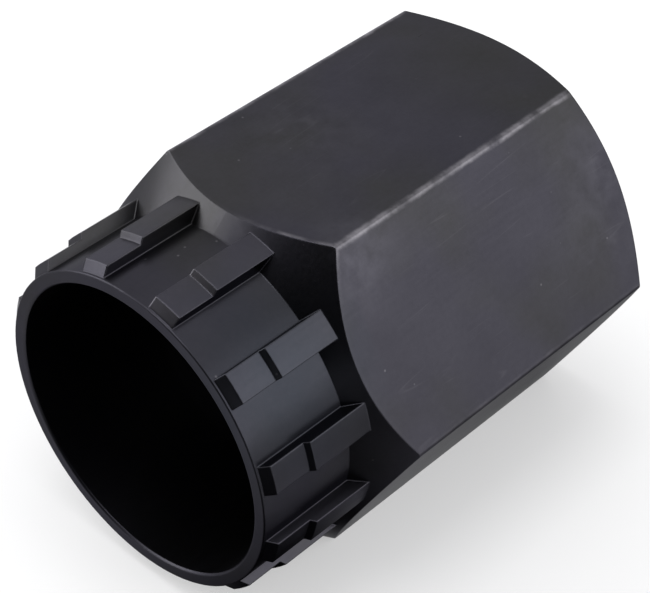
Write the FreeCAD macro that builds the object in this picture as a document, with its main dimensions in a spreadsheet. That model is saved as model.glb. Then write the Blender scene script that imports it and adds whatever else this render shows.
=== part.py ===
import FreeCAD, Part
import math
import os

import Sketcher
from FreeCAD import Placement, Rotation, Vector

# Cassette lockring tool: one piece of steel. A hexagonal body takes the spanner, and a thin-walled
# barrel with twelve stepped splines goes into the lockring. It lies on one of its hexagon's flats.
# The sketches are drawn with X = 0 at the plain rear face and +X towards the splined end, on the
# tool's own axis. The body's placement then lays the tool on the floor, centred on the origin.

doc = FreeCAD.newDocument("LockringTool")

SIZES = [
    # hexagonal body, from the rear: its bevel, its long edges, and the cone down to the barrel
    ("across_flats", 23.8),
    ("edge_round", 0.3),
    ("rear_bevel_length", 1.82),
    ("rear_bevel_depth", 2.44),
    ("flats_length", 21.29),
    ("cone_length", 3.04),
    # bore, by the wall it leaves under the flats, and the barrel round it, from the cone to the rim
    ("flat_wall", 2.0),
    ("barrel_wall", 0.89),
    ("barrel_length", 7.05),
    ("rim_bevel", 0.06),
    ("mouth_bevel", 0.12),
    # splines: a low land in front, a bevelled step, and a high land behind it
    ("spline_count", 12),
    ("spline_width", 1.95),
    ("spline_turn", 15),
    ("low_land_height", 0.61),
    ("high_land_height", 0.96),
    ("low_land_length", 3.26),
    ("step_bevel", 0.25),
    # lead-in over the splines' front ends: how far behind the rim it starts, and its length
    ("lead_setback", 0.2),
    ("lead_length", 0.46),
    # thick rear wall, with a smaller hole through it
    ("rear_wall", 9.2),
    ("rear_hole_r", 6.5),
    ("rear_hole_bevel", 0.5),
    # how far the cutting outlines run past the metal
    ("overrun", 1),
]


class Size:
    """A number of millimetres together with the sheet formula that gives it."""

    def __init__(self, value, formula):
        self.value = value
        self.formula = formula

    def joined(self, other, sign, value):
        right = other.formula if isinstance(other, Size) else str(other)
        return Size(value, "(%s %s %s)" % (self.formula, sign, right))

    def __add__(self, other):
        return self.joined(other, "+", self.value + plain(other))

    def __sub__(self, other):
        return self.joined(other, "-", self.value - plain(other))

    def __mul__(self, other):
        return self.joined(other, "*", self.value * plain(other))

    def __truediv__(self, other):
        return self.joined(other, "/", self.value / plain(other))

    def __neg__(self):
        return Size(-self.value, "(-1 * %s)" % self.formula)


def plain(number):
    """Gives the bare number of a Size or of a number."""
    return number.value if isinstance(number, Size) else number


sheet = doc.addObject("Spreadsheet::Sheet", "Sizes")
size = {}
for row, (alias, value) in enumerate(SIZES, start=1):
    sheet.set("A%d" % row, alias)
    sheet.set("B%d" % row, str(value))
    sheet.setAlias("B%d" % row, alias)
    size[alias] = Size(value, "Sizes." + alias)
doc.recompute()

# Radii of the hexagon's corners, of its rear face and of the barrel's surfaces.
flats = size["across_flats"]
corner = Size(flats.value / math.sqrt(3), "(Sizes.across_flats / sqrt(3))")
rear_face_r = corner - size["rear_bevel_depth"]
bore_r = flats / 2 - size["flat_wall"]
barrel_r = bore_r + size["barrel_wall"]
rim_r = barrel_r - size["rim_bevel"]
low_land_r = barrel_r + size["low_land_height"]
high_land_r = barrel_r + size["high_land_height"]
spline_root_r = bore_r + size["barrel_wall"] / 2

# Places along the axis, counted from the rear face.
flats_end = size["rear_bevel_length"] + size["flats_length"]
cone_end = flats_end + size["cone_length"]
front = cone_end + size["barrel_length"]
step_front = front - size["low_land_length"]
step_back = step_front - size["step_bevel"]
bore_bottom = size["rear_wall"]
overrun = size["overrun"]

body = doc.addObject("PartDesign::Body", "lockring_tool")


def origin_part(role):
    """Gives the plane or axis of the body's own origin that has this role."""
    return [part for part in body.Origin.OriginFeatures if part.Role == role][0]


def sketch_on(role, name):
    """Adds a sketch to the body, lying on one of its origin planes."""
    sketch = body.newObject("Sketcher::SketchObject", name)
    sketch.AttachmentSupport = [(origin_part(role), "")]
    sketch.MapMode = "FlatFace"
    return sketch


def tie(sketch, amount, kind, *where):
    """Adds a measured constraint whose value follows the sheet."""
    number = sketch.addConstraint(Sketcher.Constraint(kind, *where, amount.value))
    sketch.setExpression("Constraints[%d]" % number, amount.formula)


def closed_outline(sketch, corners):
    """Draws a closed outline of straight lines, and ties each corner's X and Y to the sheet."""
    count = len(corners)
    for i in range(count):
        here = corners[i]
        there = corners[(i + 1) % count]
        sketch.addGeometry(Part.LineSegment(
            Vector(plain(here[0]), plain(here[1]), 0),
            Vector(plain(there[0]), plain(there[1]), 0)), False)
    for i in range(count):
        sketch.addConstraint(Sketcher.Constraint("Coincident", i, 2, (i + 1) % count, 1))
    for i, (along, out) in enumerate(corners):
        if isinstance(along, Size):
            tie(sketch, along, "DistanceX", -1, 1, i, 1)
        else:
            sketch.addConstraint(Sketcher.Constraint("PointOnObject", i, 1, -2))
        if isinstance(out, Size):
            tie(sketch, out, "DistanceY", -1, 1, i, 1)
        else:
            sketch.addConstraint(Sketcher.Constraint("PointOnObject", i, 1, -1))


def turned(kind, name, corners):
    """Turns an outline a full circle about the tool's axis, to add metal or to cut it away."""
    sketch = sketch_on("XZ_Plane", name + "Sketch")
    closed_outline(sketch, corners)
    feature = body.newObject(kind, name)
    feature.Profile = sketch
    feature.ReferenceAxis = (origin_part("X_Axis"), [""])
    feature.Angle = 360
    sketch.Visibility = False
    doc.recompute()
    return feature


# Hexagonal bar, with one flat up and one flat down, and its six long edges slightly rounded.
hexagon = sketch_on("YZ_Plane", "HexagonSketch")
closed_outline(hexagon, [
    (corner, 0),
    (corner / 2, flats / 2),
    (-corner / 2, flats / 2),
    (-corner, 0),
    (-corner / 2, -flats / 2),
    (corner / 2, -flats / 2),
])
bar = body.newObject("PartDesign::Pad", "HexagonBar")
bar.Profile = hexagon
bar.setExpression("Length", cone_end.formula)
hexagon.Visibility = False
doc.recompute()

long_edges = []
for number, edge in enumerate(bar.Shape.Edges, start=1):
    if abs(edge.Length - cone_end.value) < 1e-6:
        long_edges.append("Edge%d" % number)
rounded = body.newObject("PartDesign::Fillet", "LongEdges")
rounded.Base = (bar, long_edges)
rounded.setExpression("Radius", size["edge_round"].formula)
doc.recompute()

# Bevel round the plain rear face.
rear_slope = size["rear_bevel_depth"] / size["rear_bevel_length"]
turned("PartDesign::Groove", "RearBevel", [
    (0, rear_face_r),
    (size["rear_bevel_length"] + overrun, corner + overrun * rear_slope),
    (-overrun, corner + overrun * rear_slope),
    (-overrun, rear_face_r),
])

# Cone that takes the hexagon down to the barrel.
cone_slope = (corner - barrel_r) / size["cone_length"]
turned("PartDesign::Groove", "Cone", [
    (flats_end - overrun, corner + overrun * cone_slope),
    (cone_end, barrel_r),
    (cone_end + overrun, barrel_r),
    (cone_end + overrun, corner + overrun * cone_slope),
])

# Barrel, with the radius that shows between the splines.
turned("PartDesign::Revolution", "Barrel", [
    (flats_end, 0),
    (front, 0),
    (front, barrel_r),
    (flats_end, barrel_r),
])


def spline_ring(name, land_r, length):
    """Pads one spline, with parallel sides and its top on its land's circle, and repeats it."""
    sketch = sketch_on("YZ_Plane", name + "Sketch")
    half = size["spline_width"].value / 2
    root = spline_root_r.value
    top = math.sqrt(land_r.value ** 2 - half ** 2)
    lean = math.asin(half / land_r.value)
    circle = Part.Circle(Vector(0, 0, 0), Vector(0, 0, 1), land_r.value)
    sketch.addGeometry(Part.LineSegment(Vector(-half, root, 0), Vector(half, root, 0)), False)
    sketch.addGeometry(Part.LineSegment(Vector(half, root, 0), Vector(half, top, 0)), False)
    sketch.addGeometry(Part.ArcOfCircle(circle, math.pi / 2 - lean, math.pi / 2 + lean), False)
    sketch.addGeometry(Part.LineSegment(Vector(-half, top, 0), Vector(-half, root, 0)), False)
    for first, second in ((0, 1), (1, 2), (2, 3), (3, 0)):
        sketch.addConstraint(Sketcher.Constraint("Coincident", first, 2, second, 1))
    sketch.addConstraint(Sketcher.Constraint("Coincident", 2, 3, -1, 1))
    sketch.addConstraint(Sketcher.Constraint("Vertical", 1))
    sketch.addConstraint(Sketcher.Constraint("Vertical", 3))
    sketch.addConstraint(Sketcher.Constraint("Symmetric", 0, 1, 0, 2, -2))
    tie(sketch, size["spline_width"], "DistanceX", 0, 1, 0, 2)
    tie(sketch, spline_root_r, "DistanceY", -1, 1, 0, 1)
    tie(sketch, land_r, "Radius", 2)
    sketch.AttachmentOffset = Placement(
        Vector(0, 0, flats_end.value), Rotation(Vector(0, 0, 1), size["spline_turn"].value))
    sketch.setExpression("AttachmentOffset.Base.z", flats_end.formula)
    sketch.setExpression("AttachmentOffset.Rotation.Angle", size["spline_turn"].formula)
    pad = body.newObject("PartDesign::Pad", name)
    pad.Profile = sketch
    pad.setExpression("Length", length.formula)
    sketch.Visibility = False
    doc.recompute()
    ring = body.newObject("PartDesign::PolarPattern", name + "Ring")
    ring.Originals = [pad]
    ring.Axis = (origin_part("X_Axis"), [""])
    ring.Angle = 360
    ring.setExpression("Occurrences", size["spline_count"].formula)
    body.Tip = ring
    doc.recompute()


# The splines start inside the hexagon's end, so the high lands run out into the cone.
spline_ring("LowLand", low_land_r, front - flats_end)
spline_ring("HighLand", high_land_r, step_front - flats_end)

# Bevelled step from the high land down to the low land.
turned("PartDesign::Groove", "Step", [
    (step_back, high_land_r),
    (step_front, low_land_r),
    (step_front, high_land_r + overrun),
    (step_back, high_land_r + overrun),
])

# Lead-in round the splined end: one cut bevels the rim, leaves the barrel's own surface bare for a
# short way, and slopes up over the splines' front ends.
lead_start = front - size["lead_setback"]
lead_run = (size["high_land_height"] + overrun) * size["lead_length"] / size["low_land_height"]
turned("PartDesign::Groove", "LeadIn", [
    (front, rim_r),
    (front + overrun, rim_r),
    (front + overrun, high_land_r + overrun),
    (lead_start - lead_run, high_land_r + overrun),
    (lead_start, barrel_r),
    (front - size["rim_bevel"], barrel_r),
])

# Bore from the splined end to its shoulder, with a slight bevel at the mouth.
turned("PartDesign::Groove", "Bore", [
    (bore_bottom, 0),
    (front, 0),
    (front, bore_r + size["mouth_bevel"]),
    (front - size["mouth_bevel"], bore_r),
    (bore_bottom, bore_r),
])

# Smaller hole through the rear wall, bevelled on the outside.
turned("PartDesign::Groove", "RearHole", [
    (0, 0),
    (bore_bottom + overrun, 0),
    (bore_bottom + overrun, size["rear_hole_r"]),
    (size["rear_hole_bevel"], size["rear_hole_r"]),
    (0, size["rear_hole_r"] + size["rear_hole_bevel"]),
])

# The tool lies on a flat of its hexagon, with its splined end towards -X.
body.Placement = Placement(
    Vector(front.value / 2, 0, flats.value / 2), Rotation(Vector(0, 0, 1), 180))
body.setExpression("Placement.Base.x", (front / 2).formula)
body.setExpression("Placement.Base.z", (flats / 2).formula)
doc.recompute()

for thing in doc.Objects:
    if "Invalid" in thing.State or "Error" in thing.State:
        raise ValueError("%s did not build: %s" % (thing.Name, thing.State))
shape = body.Shape
if shape.isNull() or not shape.isValid() or len(shape.Solids) != 1:
    raise ValueError("the body isn't one valid solid")

os.makedirs("parts", exist_ok=True)
shape.exportStep("parts/lockring_tool.step")
print("lockring_tool: length %.2f mm, volume %.0f mm3, %d faces" % (
    front.value, shape.Volume, len(shape.Faces)))
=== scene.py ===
# %% [markdown]
# # Dressing a cassette lockring tool
# The tool is one steel part: a hexagon to put a spanner on, a cone, and a thin barrel with twelve
# stepped splines. Its shape comes from CAD and arrives here as a fixed frame. Blender adds what a
# solid doesn't have: the black oxide finish, the floor, the light and the camera.

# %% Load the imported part
import math

import bpy
import numpy as np
from mathutils import Matrix, Vector


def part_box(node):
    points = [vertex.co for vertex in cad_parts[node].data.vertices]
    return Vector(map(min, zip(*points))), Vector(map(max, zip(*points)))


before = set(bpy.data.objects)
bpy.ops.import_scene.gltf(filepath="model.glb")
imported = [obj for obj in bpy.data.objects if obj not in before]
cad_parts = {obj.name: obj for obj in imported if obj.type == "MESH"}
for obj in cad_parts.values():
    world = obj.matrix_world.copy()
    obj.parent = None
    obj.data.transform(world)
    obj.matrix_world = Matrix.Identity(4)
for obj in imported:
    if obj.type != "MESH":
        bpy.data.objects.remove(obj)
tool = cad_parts["lockring_tool"]
low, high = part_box("lockring_tool")
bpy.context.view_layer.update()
print("tool, mm:", [round((b - a) * 1000, 2) for a, b in zip(low, high)])

# %% [markdown]
# ## The tool's own measures
# Marks on turned steel run round its axis and marks on a milled flat run along it, so the finish has
# to know where the axis is and where the turned part begins. These few sizes place both. They are the
# part's own sizes, in metres, along the axis that points from the splined end to the rear.

# %% Sizes that the finish follows
BOTTOM = low[2]
TOP = high[2]
AXIS_HEIGHT = (BOTTOM + TOP) / 2
BARREL_LENGTH = 0.00705
CONE_LENGTH = 0.00304
BARREL_END_X = low[0] + BARREL_LENGTH
CONE_END_X = BARREL_END_X + CONE_LENGTH
BARREL_RADIUS = 0.01079
CORNER_RADIUS = (TOP - BOTTOM) / math.sqrt(3)
print("axis height, mm:", round(AXIS_HEIGHT * 1000, 2), "cone ends at, mm:", round(CONE_END_X * 1000, 2))

# %% [markdown]
# ## A small helper for finishes
# A material in Blender is a graph: nodes make numbers and colours, and links carry them to the shader.
# Writing it out node by node is long, so one short function adds a node, fills its sockets and links
# what it is given. A plain value goes on the socket itself, and a socket of another node is linked.


# %% Node helper
class Finish:
    """A material's graph, with short calls to add its nodes."""

    def __init__(self, name):
        self.material = bpy.data.materials.new(name)
        self.material.use_nodes = True
        self.tree = self.material.node_tree
        self.shader = self.tree.nodes["Principled BSDF"]
        self.place = self.add("ShaderNodeTexCoord").outputs["Object"]

    def add(self, kind, sockets=None, **options):
        """Adds a node, sets its options, and fills its sockets with values or with links."""
        node = self.tree.nodes.new(kind)
        for option, value in options.items():
            setattr(node, option, value)
        for socket, value in (sockets or {}).items():
            self.fill(node.inputs[socket], value)
        return node

    def fill(self, socket, value):
        """Puts a value on a socket, or links another node's output to it."""
        if isinstance(value, bpy.types.NodeSocket):
            self.tree.links.new(value, socket)
        else:
            socket.default_value = value

    def sum(self, kind, a, b=0.0, c=0.0, clamp=False):
        """One step of arithmetic on two or three numbers."""
        node = self.add("ShaderNodeMath", {0: a, 1: b, 2: c}, operation=kind, use_clamp=clamp)
        return node.outputs[0]

    def product(self, first, *others):
        """Multiplies two or more numbers."""
        for other in others:
            first = self.sum("MULTIPLY", first, other)
        return first

    def rest(self, share):
        """What a share leaves of 1."""
        return self.sum("SUBTRACT", 1.0, share)

    def parts(self, vector):
        """The x, y and z of a place or a direction."""
        return self.add("ShaderNodeSeparateXYZ", {0: vector}).outputs

    def noise(self, place, scale, detail=3.0, rough=0.5):
        """Soft random cloud, from 0 to 1, with its cells 1 / scale metres apart."""
        sockets = {"Vector": place, "Scale": scale, "Detail": detail, "Roughness": rough}
        return self.add("ShaderNodeTexNoise", sockets).outputs["Fac"]

    def range(self, value, a, b, to_a=0.0, to_b=1.0, soft=False):
        """Carries a value from the range a to b over to to_a to to_b, and holds it at the ends."""
        kind = "SMOOTHSTEP" if soft else "LINEAR"
        sockets = {"Value": value, "From Min": a, "From Max": b, "To Min": to_a, "To Max": to_b}
        return self.add("ShaderNodeMapRange", sockets, interpolation_type=kind).outputs["Result"]

    def spot(self, centre, reach):
        """A soft round place: 1 at its centre, falling to 0 at reach metres from it."""
        gap = self.add("ShaderNodeVectorMath", {0: self.place, 1: centre}, operation="DISTANCE")
        return self.range(gap.outputs["Value"], 0.0, reach, 1.0, 0.0, soft=True)

    def scratches(self, turn, scale):
        """Hairlines: the places where a long drawn-out noise passes its middle value."""
        drawn_out = (0.07, 1.0, 1.0)
        half_width = 0.005
        laid = self.add("ShaderNodeMapping", {0: self.place, "Rotation": turn, "Scale": drawn_out})
        off_middle = self.sum("SUBTRACT", self.noise(laid.outputs[0], scale, 2.0), 0.5)
        return self.range(self.sum("ABSOLUTE", off_middle), 0.0, half_width, 1.0, 0.0)

    def blend(self, share, a, b):
        """Mixes two colours by a share."""
        node = self.add("ShaderNodeMix", data_type="RGBA")
        colours = [s for s in node.inputs if s.type == "RGBA"]
        self.fill(node.inputs[0], share)
        self.fill(colours[0], a)
        self.fill(colours[1], b)
        return [s for s in node.outputs if s.type == "RGBA"][0]


print("finish helper ready")

# %% [markdown]
# ## Black oxide on steel
# The real tool is blackened in a hot salt bath: a thin oxide skin over bare steel, near black and a
# little blue, oiled, with a satin shine. Nearly all that the eye sees is reflection, so the shader is a
# dark metal of middling roughness and not a black paint. Four things keep it from looking like
# plastic: the colour drifts between plain grey and a cooler tone, the tool marks show as a fine grain,
# a few soft patches are painted paler as a sheen, and it is rubbed through on the long edges of the
# hexagon, where a ragged line of grey steel shows, painted paler on the upper edges as a highlight.
# Specks and hairlines come last. Painted highlights also lie on the arc and the first spline, and
# painted shade darkens the colour between the splines.

# %% Where on the tool a point is
TURNED_EDGE = 0.0002
RECESS_START = BARREL_RADIUS + 0.00002
RECESS_END = BARREL_RADIUS + 0.00010
CONE_SLOPE = CONE_LENGTH / (CORNER_RADIUS - BARREL_RADIUS)

oxide = Finish("black_oxide")
along, across, up = oxide.parts(oxide.place)
height = oxide.sum("SUBTRACT", up, AXIS_HEIGHT)
squares = oxide.sum("ADD", oxide.product(across, across), oxide.product(height, height))
radius = oxide.sum("POWER", squares, 0.5)
turned = oxide.range(along, CONE_END_X - TURNED_EDGE, CONE_END_X + TURNED_EDGE, 1.0, 0.0)
cone_x = oxide.sum("MULTIPLY_ADD", radius, CONE_SLOPE, BARREL_END_X - BARREL_RADIUS * CONE_SLOPE)
behind_arc = oxide.sum("SUBTRACT", along, cone_x)
recess = oxide.product(turned, oxide.range(radius, RECESS_START, RECESS_END, 1.0, 0.0))
print("turned part ends at, mm:", round(CONE_END_X * 1000, 2))

# %% [markdown]
# ### Tool marks
# A milled flat carries marks along the tool, and a turned face carries rings. Both are the same noise
# on a stretched place: drawn out along the tool for the flats, and fed with the length and the radius
# alone for the rings, so that it is the same all the way round.

# %% Grain of the tool marks
DRAWN_SCALE = 5200.0
RING_SCALE = 9000.0
GRAIN_SCALE = 9000.0
DRAWN_STRETCH = 0.05

slid = oxide.product(along, DRAWN_STRETCH)
drawn = oxide.add("ShaderNodeCombineXYZ", {0: slid, 1: across, 2: height}).outputs[0]
ringed = oxide.add("ShaderNodeCombineXYZ", {0: along, 1: radius, 2: 0.0}).outputs[0]
drawn_marks = oxide.noise(drawn, DRAWN_SCALE, 3.0, 0.6)
ringed_marks = oxide.noise(ringed, RING_SCALE, 2.0, 0.5)
skin_grain = oxide.noise(oxide.place, GRAIN_SCALE, 2.0, 0.6)
print("mark spacing, mm:", round(1000 / DRAWN_SCALE, 3), round(1000 / RING_SCALE, 3))

# %% [markdown]
# ### Wear and painted highlights
# An ambient occlusion node that looks inward is dark on a flat and bright near an outer edge, so it
# finds the splines' worn edges. The hexagon's long edges are wider, and the distance from the axis finds
# them: only a corner reaches that far out. Their pale line is partly wear and partly a painted highlight:
# the upper ones, which face the light, are painted paler. The arc between flat and cone is found by how
# far a point lies behind the cone, and its pale line is a painted highlight, strongest in one spot near
# the top. Noise breaks each line up, as real wear does. The uppermost spline's front and step, which meet
# the lockring first, carry a painted highlight too: those faces point forwards, and a spot picks them. A
# spot is a place on the tool and how far it reaches.

# %% Wear along the sharp edges, with a painted highlight on the upper ones
EDGE_ROUND = 0.00013
EDGE_REACH = 0.00022
EDGE_WEAR = 0.10
CORNER_START = CORNER_RADIUS - 0.00019
CORNER_FULL = CORNER_RADIUS - 0.00005
CORNER_RAGGED = 0.00003
LOWER_CORNER_HIGHLIGHT = 0.20

rounded = oxide.add("ShaderNodeBevel", {"Radius": EDGE_ROUND}, samples=8).outputs["Normal"]
near = oxide.add("ShaderNodeAmbientOcclusion", {"Distance": EDGE_REACH}, samples=6, inside=True)
sharp = oxide.product(oxide.range(near.outputs["AO"], 0.80, 0.45), EDGE_WEAR)
ragged = oxide.noise(oxide.place, 900.0, 4.0, 0.6)
ragged = oxide.range(ragged, 0.3, 0.7, -CORNER_RAGGED, CORNER_RAGGED)
corner = oxide.range(oxide.sum("ADD", radius, ragged), CORNER_START, CORNER_FULL, soft=True)
# Painted highlight: the lower long edges are kept darker and the upper ones paler, as the light falls from
# above.
upper_highlight = oxide.range(up, AXIS_HEIGHT, TOP - 0.0010, LOWER_CORNER_HIGHLIGHT, 1.0)
corner = oxide.product(corner, oxide.rest(turned), upper_highlight)
print("edge rounding that the light sees, mm:", EDGE_ROUND * 1000)

# %% Painted highlights on the arc and the first spline
FRONT_CORNER = ((-0.0054, -0.0077, 0.0228), 0.0045)
ARC_HIGHLIGHT_SPOT = ((-0.0062, -0.0045, 0.0238), 0.0052)
FIRST_SPLINE = ((-0.0148, -0.0030, 0.0229), 0.0046)
ARC_NEAR = (0.00001, 0.00005)
ARC_FAR = (0.00012, 0.00034)
ARC_LEAST = 0.03
ARC_MOST = 0.80
FIRST_SPLINE_HIGHLIGHT = 0.40

front_corner = oxide.spot(*FRONT_CORNER)
# Painted highlight: a pale line along the arc between flat and cone, strongest in one spot near the top.
arc = oxide.product(oxide.range(behind_arc, *ARC_NEAR), oxide.range(behind_arc, *ARC_FAR, 1.0, 0.0))
arc = oxide.product(arc, oxide.sum("MULTIPLY_ADD", oxide.spot(*ARC_HIGHLIGHT_SPOT), ARC_MOST, ARC_LEAST))
normal_x = oxide.parts(oxide.add("ShaderNodeNewGeometry").outputs["True Normal"])[0]
forwards = oxide.range(normal_x, -0.35, -0.60)
on_land = oxide.sum("SUBTRACT", turned, recess)
# Painted highlight: the forward faces of the uppermost spline are painted paler.
front_face_highlight = oxide.product(forwards, oxide.spot(*FIRST_SPLINE), on_land)
patchy = oxide.range(oxide.noise(oxide.place, 700.0, 3.0, 0.6), 0.36, 0.64, 0.15, 1.0)
lines = oxide.sum("MAXIMUM", oxide.sum("ADD", sharp, arc), corner)
wear_and_highlight = oxide.sum("MULTIPLY", lines, patchy, clamp=True)
wear_and_highlight = oxide.sum("MULTIPLY_ADD", front_face_highlight, FIRST_SPLINE_HIGHLIGHT, wear_and_highlight)
print("arc wear reaches back, mm:", ARC_FAR[1] * 1000)

# %% [markdown]
# ### Colour and relief
# The skin's two tones are mixed by a slow noise, and the splines on the right lean to blue. A painted
# sheen comes from three soft spots, one at the front corner, one at the rear and one on top, where the
# flats are painted paler, and it is broken up like the wear. Between the splines the colour is darkened:
# painted shade in the recesses.

# %% Tones of the skin
PLAIN_REAR = ((0.0150, 0.0, 0.0238), 0.0110)
PLAIN_LEFT = ((-0.0080, 0.0080, 0.0220), 0.0110)
BLUE_SPLINES = ((-0.0125, -0.0080, 0.0185), 0.0085)
PLAIN_TONE = (0.0380, 0.0376, 0.0376, 1.0)
COOL_TONE = (0.0390, 0.0378, 0.0465, 1.0)
BLUE_TONE = (0.0345, 0.0385, 0.0475, 1.0)

plain = oxide.sum("ADD", oxide.spot(*PLAIN_REAR), oxide.spot(*PLAIN_LEFT))
drift = oxide.range(oxide.noise(oxide.place, 110.0, 2.0, 0.5), 0.30, 0.55)
cool = oxide.sum("SUBTRACT", drift, plain, clamp=True)
skin = oxide.blend(cool, PLAIN_TONE, COOL_TONE)
bluish = oxide.sum("MULTIPLY", turned, oxide.spot(*BLUE_SPLINES), clamp=True)
skin = oxide.blend(bluish, skin, BLUE_TONE)
print("tones, dark to light:", sorted([PLAIN_TONE[0], COOL_TONE[0], BLUE_TONE[0]]))

# %% Mottling, painted sheen and painted shade between the splines
SHEEN_REAR = ((0.0160, -0.0105, 0.0180), 0.0090)
SHEEN_TOP = ((0.0010, 0.0020, 0.0238), 0.0090)
FRONT_SHEEN = 0.70
REAR_SHEEN = 0.45
TOP_SHEEN = 0.24
CLOUD_SHARE = 0.17
SPECKLE_SHARE = 0.13
RECESS_SHADE_SHARE = 0.20
PALE_MOTTLE_AND_SHEEN_TONE = (0.070, 0.068, 0.081, 1.0)
RECESS_SHADE_TONE = (0.004, 0.004, 0.005, 1.0)

cloud = oxide.range(oxide.noise(oxide.place, 260.0, 4.0, 0.55), 0.30, 0.70, 0.0, CLOUD_SHARE)
speckle = oxide.range(oxide.noise(oxide.place, 2600.0, 4.0, 0.7), 0.30, 0.70, 0.0, SPECKLE_SHARE)
# Painted sheen: three soft spots on the flats are painted paler.
painted_sheen = oxide.product(oxide.spot(*SHEEN_REAR), REAR_SHEEN)
painted_sheen = oxide.sum("MULTIPLY_ADD", front_corner, FRONT_SHEEN, painted_sheen)
painted_sheen = oxide.sum("MULTIPLY_ADD", oxide.spot(*SHEEN_TOP), TOP_SHEEN, painted_sheen)
clouded = oxide.sum("ADD", cloud, speckle)
mottle_and_sheen = oxide.sum("ADD", clouded, oxide.product(painted_sheen, patchy), clamp=True)
mottled_and_sheened = oxide.blend(mottle_and_sheen, skin, PALE_MOTTLE_AND_SHEEN_TONE)
# Painted shade: between the splines the colour is darkened.
recess_shaded = oxide.blend(oxide.product(recess, RECESS_SHADE_SHARE), mottled_and_sheened, RECESS_SHADE_TONE)
print("skin between the splines is darker by a share of:", RECESS_SHADE_SHARE)

# %% Specks, hairlines, bare steel and painted highlights
SPECK_SCALE = 520.0
SPECK_SHARE = 0.22
HAIR_SHARE = 0.045
WEAR_AND_HIGHLIGHT_SHARE = 0.6
BARE_STEEL_AND_HIGHLIGHT_TONE = (0.26, 0.25, 0.27, 1.0)

dots = oxide.add("ShaderNodeTexVoronoi", {"Vector": oxide.place, "Scale": SPECK_SCALE})
specks = oxide.range(dots.outputs["Distance"], 0.050, 0.024, 0.0, SPECK_SHARE)
one_way = oxide.scratches((0.3, 0.2, 0.5), 260.0)
other_way = oxide.scratches((-0.2, 0.9, -0.7), 310.0)
here_and_there = oxide.range(oxide.noise(oxide.place, 330.0, 2.0), 0.50, 0.62, 0.0, HAIR_SHARE)
hairs = oxide.product(oxide.sum("MAXIMUM", one_way, other_way), here_and_there, oxide.rest(turned))
marked = oxide.sum("MAXIMUM", specks, hairs)
# Pale grey here is bare steel at specks, hairlines and worn edges, and painted highlight on the upper
# edges, the arc and the first spline.
bare_and_highlight_share = oxide.sum("MAXIMUM", oxide.product(wear_and_highlight, WEAR_AND_HIGHLIGHT_SHARE), marked)
oxide.fill(oxide.shader.inputs["Base Color"], oxide.blend(bare_and_highlight_share, recess_shaded, BARE_STEEL_AND_HIGHLIGHT_TONE))
print("specks about, mm apart:", round(1000 / SPECK_SCALE, 2))

# %% Shine and relief
EDGE_SHINE = (0.52, 0.52, 0.54, 1.0)
SMOOTHEST = 0.27
ROUGHEST = 0.35
MARK_SHARE = 0.6
SPECK_DEPTH = 3.0
RELIEF_STRENGTH = 0.12
RELIEF_HEIGHT = 0.00003

oxide.shader.inputs["Metallic"].default_value = 1.0
oxide.shader.inputs["Specular Tint"].default_value = EDGE_SHINE
satin = oxide.range(drawn_marks, 0.2, 0.8, SMOOTHEST, ROUGHEST)
oxide.fill(oxide.shader.inputs["Roughness"], satin)
either = {0: turned, 2: drawn_marks, 3: ringed_marks}
marks = oxide.add("ShaderNodeMix", either, data_type="FLOAT").outputs[0]
relief = oxide.sum("MULTIPLY_ADD", marks, MARK_SHARE, oxide.product(skin_grain, 1.0 - MARK_SHARE))
relief = oxide.sum("SUBTRACT", relief, oxide.product(marked, SPECK_DEPTH))
raised = {"Strength": RELIEF_STRENGTH, "Distance": RELIEF_HEIGHT, "Height": relief, "Normal": rounded}
oxide.fill(oxide.shader.inputs["Normal"], oxide.add("ShaderNodeBump", raised).outputs["Normal"])
print("finish nodes:", len(oxide.tree.nodes))

# %% Put the finish on the tool
for seat in tool.material_slots:
    seat.material = oxide.material
print("finish on:", tool.name, "faces:", len(tool.data.polygons))

# %% [markdown]
# ## The floor
# The tool lies on one flat, on a pale table. A disc is enough: the camera looks down at it, so it fills
# the picture. It is plain white card that catches the light, so its own brightness makes the pale
# background and the tool's soft shadow falls on it. To the camera and in reflections a share of plain
# white is mixed in, which keeps the shadow and makes it lighter.


# %% Mesh helpers
def in_scene(name, points, faces):
    """An object from rows of x, y, z and from faces that list their points' row numbers."""
    mesh = bpy.data.meshes.new(name)
    mesh.from_pydata(points.tolist(), [], faces)
    mesh.update()
    made = bpy.data.objects.new(name, mesh)
    bpy.context.scene.collection.objects.link(made)
    return made


def ring_faces(bands, spokes):
    """Faces between rings of points: each joins (i, j), (i + 1, j), (i + 1, j + 1) and (i, j + 1)."""
    i, j = np.meshgrid(np.arange(bands), np.arange(spokes), indexing="ij")
    k = (j + 1) % spokes
    corners = [i * spokes + j, (i + 1) * spokes + j, (i + 1) * spokes + k, i * spokes + k]
    return np.stack(corners, axis=-1).reshape(-1, 4).tolist()


print("mesh helpers ready")


# %% Floor disc
def disc(name, radius, rings, spokes, z):
    """A flat disc: point (i, j) is at radius r = radius (i / rings) squared, at angle 2 pi j / spokes."""
    r = radius * (np.arange(rings + 1) / rings) ** 2
    t = 2 * math.pi * np.arange(spokes) / spokes
    x = (r[:, None] * np.cos(t)).ravel()
    y = (r[:, None] * np.sin(t)).ravel()
    points = np.column_stack([x, y, np.full(x.size, z)])
    return in_scene(name, points, ring_faces(rings, spokes))


FLOOR_RADIUS = 2.0
FLOOR_GAP = 0.00002
floor = disc("pale_floor", FLOOR_RADIUS, 12, 64, BOTTOM - FLOOR_GAP)
print("floor radius, m:", FLOOR_RADIUS)

# %% White card
WHITE_SHARE = 0.42
CARD_TONE = (0.77, 0.77, 0.77, 1.0)
CARD_LIGHTER = (0.78, 0.78, 0.78, 1.0)
WHITE = (1.0, 1.0, 1.0, 1.0)

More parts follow.
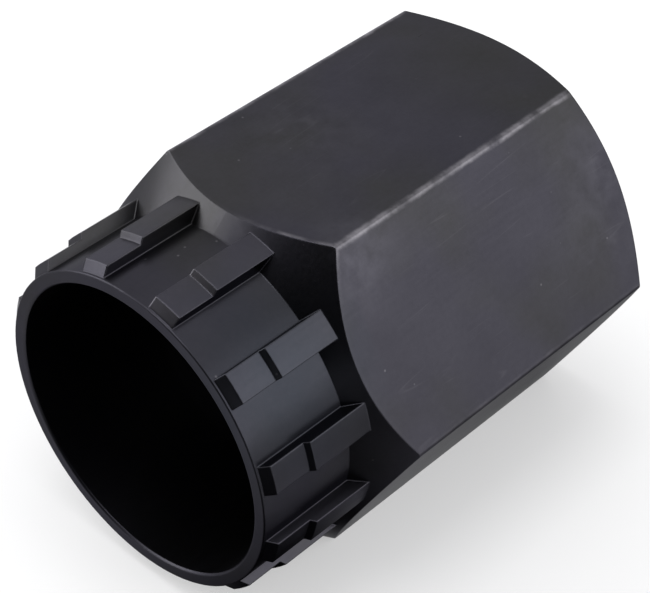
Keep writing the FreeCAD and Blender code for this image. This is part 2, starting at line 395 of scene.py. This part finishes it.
card = Finish("white_card")
card_tone = card.range(card.noise(card.place, 40.0, 2.0), 0.3, 0.7)
card.fill(card.shader.inputs["Base Color"], card.blend(card_tone, CARD_TONE, CARD_LIGHTER))
card.shader.inputs["Roughness"].default_value = 0.9
card.shader.inputs["Specular IOR Level"].default_value = 0.1
path = card.add("ShaderNodeLightPath").outputs
seen = card.sum("MAXIMUM", path["Is Glossy Ray"], path["Is Transmission Ray"])
seen = card.sum("MAXIMUM", path["Is Camera Ray"], seen)
share = card.product(seen, WHITE_SHARE)
white = card.add("ShaderNodeEmission", {"Color": WHITE, "Strength": 1.0}).outputs[0]
mixed = card.add("ShaderNodeMixShader", {0: share, 1: card.shader.outputs[0], 2: white}).outputs[0]
card.fill(card.tree.nodes["Material Output"].inputs["Surface"], mixed)
floor.data.materials.append(card.material)
print("share of plain white that is seen:", WHITE_SHARE)

# %% [markdown]
# ## Studio light
# A satin metal looks like the room around it, so the light is built from what each face mirrors. A
# large soft lamp stands behind the tool's left and gives the pale sweep over the cone. A weaker one at
# its right lights the long side flat, one behind its right the upper splines and one overhead the
# splines that face between the two. The sky is a plain soft grey, a little brighter overhead.

# %% Sky
world = bpy.data.worlds.new("studio_sky")
bpy.context.scene.world = world
world.use_nodes = True
sky = world.node_tree
sky.nodes.clear()
LOW_SKY = 0.82
HIGH_SKY = 1.25
SKY_TONE = (0.98, 0.98, 1.0, 1.0)
direction = sky.nodes.new("ShaderNodeTexCoord").outputs["Generated"]
rise = sky.nodes.new("ShaderNodeMapRange")
rise.interpolation_type = "SMOOTHSTEP"
sky_sockets = {"From Min": 0.5, "From Max": 1.0, "To Min": LOW_SKY, "To Max": HIGH_SKY}
for socket, value in sky_sockets.items():
    rise.inputs[socket].default_value = value
climb = sky.nodes.new("ShaderNodeSeparateXYZ")
sky.links.new(direction, climb.inputs[0])
sky.links.new(climb.outputs["Z"], rise.inputs["Value"])
glow = sky.nodes.new("ShaderNodeBackground")
glow.inputs["Color"].default_value = SKY_TONE
sky.links.new(rise.outputs["Result"], glow.inputs["Strength"])
sky.links.new(glow.outputs[0], sky.nodes.new("ShaderNodeOutputWorld").inputs["Surface"])
print("sky, from the horizon to overhead:", LOW_SKY, HIGH_SKY)


# %% Soft lamps
LAMP_DISTANCE = 0.9


def soft_lamp(name, toward, width, depth, brightness):
    """A flat lamp, width by depth, toward a direction from the tool. Watts = pi * area * brightness."""
    lamp = bpy.data.lights.new(name, "AREA")
    lamp.shape = "RECTANGLE"
    lamp.size = width
    lamp.size_y = depth
    lamp.energy = math.pi * width * depth * brightness
    stand = bpy.data.objects.new(name, lamp)
    away = Vector(toward).normalized()
    stand.location = away * LAMP_DISTANCE + Vector((0.0, 0.0, AXIS_HEIGHT))
    stand.rotation_euler = away.to_track_quat("Z", "Y").to_euler()
    bpy.context.scene.collection.objects.link(stand)
    return stand


key = soft_lamp("lamp_behind_left", (-0.37, 0.82, 0.42), 0.80, 0.68, 3.2)
side = soft_lamp("lamp_right", (0.44, -0.80, 0.39), 0.72, 0.66, 1.46)
rear = soft_lamp("lamp_behind_right", (0.56, 0.78, 0.27), 0.60, 0.42, 1.00)
top = soft_lamp("lamp_overhead", (-0.05, 0.0, 1.0), 0.45, 0.45, 3.4)
print("lamps:", key.name, side.name, rear.name, top.name)

# %% [markdown]
# ## A dark card for the metal
# The camera and whoever holds it stand in front of the table and keep the light off the metal there:
# the underside of the cone and the near part of the rim mirror something dark. A photographer lays a
# black card on the table just outside the picture for this. Here the card is seen by reflections
# alone, so the floor stays pale from every side, and its edges are soft.

# %% Dark card
CARD_HEADING = math.radians(217)
CARD_START = 0.007
CARD_FADE = 0.006
CARD_END = 0.30
CARD_HEIGHT = BOTTOM + 0.00002
FELT_TONE = (0.01, 0.01, 0.012, 1.0)
DARK_HALF_ANGLE = math.radians(8)
FADED_HALF_ANGLE = math.radians(48)


def wedge(name, start, end, half_angle, z):
    """A flat wedge on a 2 by 2 grid: at distance x from its tip it reaches x * tan(half_angle) each way."""
    s, side = np.meshgrid([start, end], [-1.0, 1.0], indexing="ij")
    width = side * s * math.tan(half_angle)
    points = np.column_stack([s.ravel(), width.ravel(), np.full(4, z)])
    return in_scene(name, points, [(0, 2, 3, 1)])


def dark_finish(name):
    """Black cloth: a finish whose cover, from 0 to 1, is still to be given as its alpha."""
    cloth = Finish(name)
    cloth.shader.inputs["Base Color"].default_value = FELT_TONE
    cloth.shader.inputs["Roughness"].default_value = 0.9
    cloth.shader.inputs["Specular IOR Level"].default_value = 0.0
    return cloth


def show_to_metal_only(made, cloth, cover):
    """Gives the cloth to a mesh and takes the mesh out of every view but that of reflections."""
    cloth.fill(cloth.shader.inputs["Alpha"], cover)
    made.data.materials.append(cloth.material)
    made.visible_camera = False
    made.visible_diffuse = False
    made.visible_shadow = False
    made.visible_transmission = False


dark_card = wedge("dark_card", CARD_START, CARD_END, FADED_HALF_ANGLE, CARD_HEIGHT)
dark_card.rotation_euler = (0.0, 0.0, CARD_HEADING)
felt = dark_finish("black_felt")
out, sideways, _ = felt.parts(felt.place)
bearing = felt.sum("ARCTAN2", felt.sum("ABSOLUTE", sideways), out)
fade = felt.range(bearing, DARK_HALF_ANGLE, FADED_HALF_ANGLE, 1.0, 0.0, soft=True)
start = felt.range(out, CARD_START, CARD_START + CARD_FADE, soft=True)
show_to_metal_only(dark_card, felt, felt.product(start, fade))
print("card starts at, mm:", CARD_START * 1000)

# %% [markdown]
# ## A shade at the right
# The flat underneath the long side mirrors the table at its foot, and the lowest splines mirror it a
# hand's width further out. Both are duller than white card would make them. A second card lies there,
# weaker than the first: it starts beside the splines, grows to a little over half at the rear of the
# tool, and fades again behind it.

# %% Grey card
SHADE_FRONT = -0.013
SHADE_REAR = 0.014
SHADE_FADE = 0.030
SHADE_LAST = 0.090
SHADE_FOOT = -0.006
SHADE_FOOT_FADE = 0.002
SHADE_END = -0.100
SHADE_COVER = 0.56
SHADE_HEIGHT = BOTTOM + 0.00004


def sheet(name, x_span, y_span, z):
    """A flat rectangle on a 2 by 2 grid, point (i, j) at x_span[i], y_span[j]."""
    x, y = np.meshgrid(x_span, y_span, indexing="ij")
    points = np.column_stack([x.ravel(), y.ravel(), np.full(4, z)])
    return in_scene(name, points, [(0, 2, 3, 1)])


grey_card = sheet("grey_card", (SHADE_FRONT, SHADE_LAST), (SHADE_END, SHADE_FOOT), SHADE_HEIGHT)
paper = dark_finish("grey_paper")
paper_x, paper_y, _ = paper.parts(paper.place)
shade = paper.range(paper_x, SHADE_FRONT, SHADE_REAR, 0.0, SHADE_COVER)
far = paper.range(paper_x, SHADE_FADE, SHADE_LAST, 1.0, 0.0, soft=True)
foot = paper.range(paper_y, SHADE_FOOT - SHADE_FOOT_FADE, SHADE_FOOT, 1.0, 0.0)
end = paper.range(paper_y, SHADE_END, SHADE_END / 2, soft=True)
show_to_metal_only(grey_card, paper, paper.product(shade, far, foot, end))
print("shade covers up to:", SHADE_COVER)

# %% [markdown]
# ## A dark side to the room
# Above the table the room is dark too on the camera's side. A great bowl of black cloth, three metres
# off, stands for it. It is darkest in the middle and thins out to nothing at its rim, and like the card
# it is seen by reflections alone, so the room behind the tool stays pale in every view.

# %% Dark bowl
DARK_SIDE = Vector((-0.80, -0.48, 0.33)).normalized()
BOWL_RADIUS = 3.0
BOWL_SPREAD = math.radians(73)
BOWL_CLEAR = 0.32 * BOWL_RADIUS
BOWL_DARK = 0.85 * BOWL_RADIUS


def bowl(name, radius, spread, rings, spokes):
    """Part of a sphere: point (i, j) is a = spread i / rings off the Z axis, at angle 2 pi j / spokes."""
    a = np.repeat(spread * np.arange(1, rings + 1) / rings, spokes)
    t = np.tile(2 * math.pi * np.arange(spokes) / spokes, rings)
    points = radius * np.column_stack([np.sin(a) * np.cos(t), np.sin(a) * np.sin(t), np.cos(a)])
    return in_scene(name, points, [list(range(spokes))] + ring_faces(rings - 1, spokes))


dark_bowl = bowl("dark_bowl", BOWL_RADIUS, BOWL_SPREAD, 24, 64)
dark_bowl.rotation_euler = DARK_SIDE.to_track_quat("Z", "Y").to_euler()
cloth = dark_finish("black_cloth")
depth = cloth.parts(cloth.place)[2]
show_to_metal_only(dark_bowl, cloth, cloth.range(depth, BOWL_CLEAR, BOWL_DARK))
print("bowl points:", len(dark_bowl.data.vertices))

# %% [markdown]
# ## Camera
# The camera stands where the photograph was taken from: in front of the splined end, to its right and
# above it, looking down by 40 degrees, far enough away that the long edges hardly draw together. Its
# three directions are given as it was fitted, and Blender wants them as the columns of one matrix.

# %% Camera
LENS = 115.96
SENSOR_WIDTH = 36.0
NEAREST_SEEN = 0.01

eye = bpy.data.cameras.new("camera")
eye.lens = LENS
eye.sensor_width = SENSOR_WIDTH
eye.clip_start = NEAREST_SEEN
camera = bpy.data.objects.new("camera", eye)
right = Vector((0.68514, -0.72841, -0.00115))
upward = Vector((0.46790, 0.43889, 0.76710))
back = Vector((-0.55826, -0.52611, 0.64152))
spot = Vector((-0.07435, -0.06995, 0.09762))
facing = Matrix((right, upward, back)).transposed().to_4x4()
camera.matrix_world = Matrix.Translation(spot) @ facing
bpy.context.scene.collection.objects.link(camera)
bpy.context.scene.camera = camera
bpy.context.scene.view_settings.view_transform = "Standard"
print("camera distance, mm:", round(spot.length * 1000, 1))
